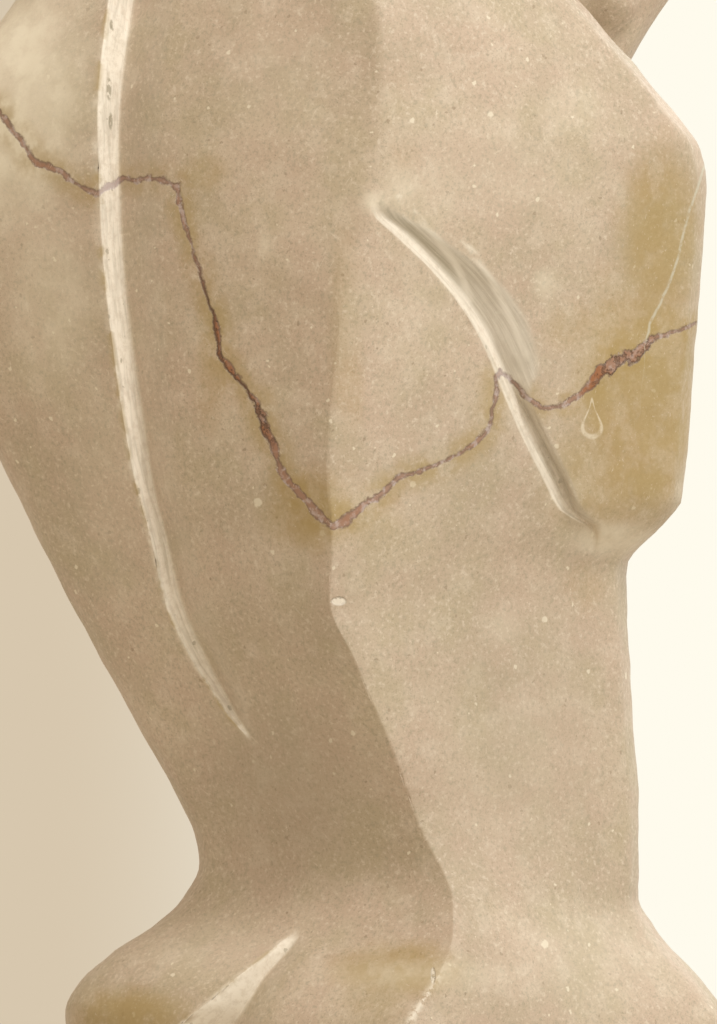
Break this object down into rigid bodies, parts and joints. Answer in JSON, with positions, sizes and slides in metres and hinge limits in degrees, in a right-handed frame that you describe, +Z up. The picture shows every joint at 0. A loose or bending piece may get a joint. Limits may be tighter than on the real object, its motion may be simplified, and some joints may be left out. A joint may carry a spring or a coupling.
{
  "type": "marble hercules statue",
  "caption": "Standing bearded Hercules carved in broad planes from one block of beige marble, both arms behind the back with a club, on a low rectangular base.",
  "frame": {"origin": "centre of the underside of the base", "axes": "+Z up along the figure, -Y towards the viewer in front of the chest, +X to that viewer's right"},
  "size_m": [0.25, 0.21, 0.925],
  "materials": {
    "stone": "honed, with rubbed chisel cuts"
  },
  "bodies": {
    "root": {"statue": "stone"}
  },
  "joints": []
}
